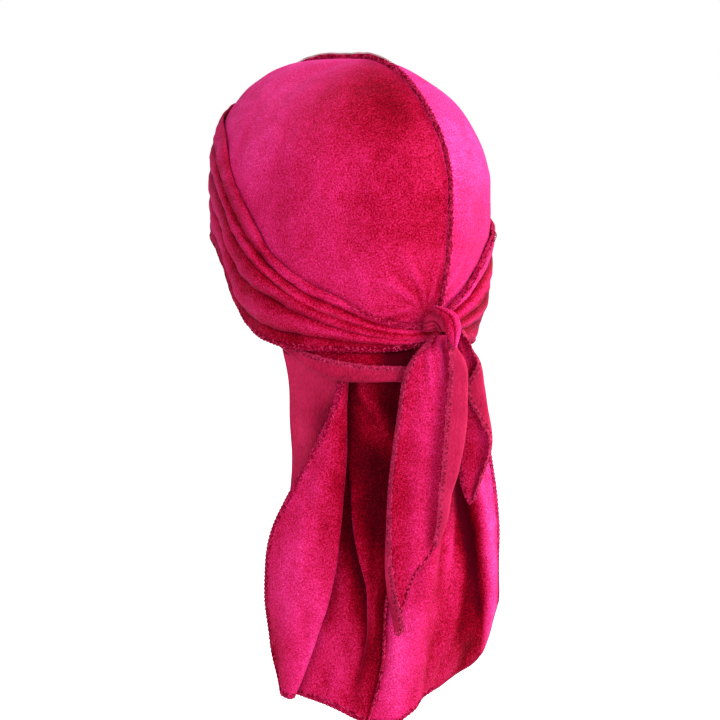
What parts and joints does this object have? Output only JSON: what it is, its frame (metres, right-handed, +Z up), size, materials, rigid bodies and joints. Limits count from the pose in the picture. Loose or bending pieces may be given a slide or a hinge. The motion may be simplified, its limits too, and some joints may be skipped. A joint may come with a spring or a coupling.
{
  "type": "velvet durag in worn shape",
  "caption": "Velvet head wrap in its worn shape: seamed crown, straps wound round and knotted at the nape, and a long pleated tail.",
  "frame": {"origin": "point inside the crown on which the top of the wearer's head bears", "axes": "+Z up out of the crown, -Y the way the wearer faces, +X the wearer's left; the nape knot is on the +Y side"},
  "size_m": [0.17, 0.215, 0.4101],
  "materials": {
    "velvet": "crushed velvet pile",
    "velvet_back": "matte knitted wrong side",
    "overlock": "overlocked seam thread"
  },
  "bodies": {
    "root": {"panel_left": "velvet", "panel_right": "velvet", "center_seam": "overlock", "wrap_left": "velvet", "wrap_right": "velvet", "nape_band": "velvet_back", "knot_core": "velvet_back", "knot_loop": "velvet", "strap_end_left": "velvet", "strap_end_right": "velvet"}
  },
  "joints": []
}
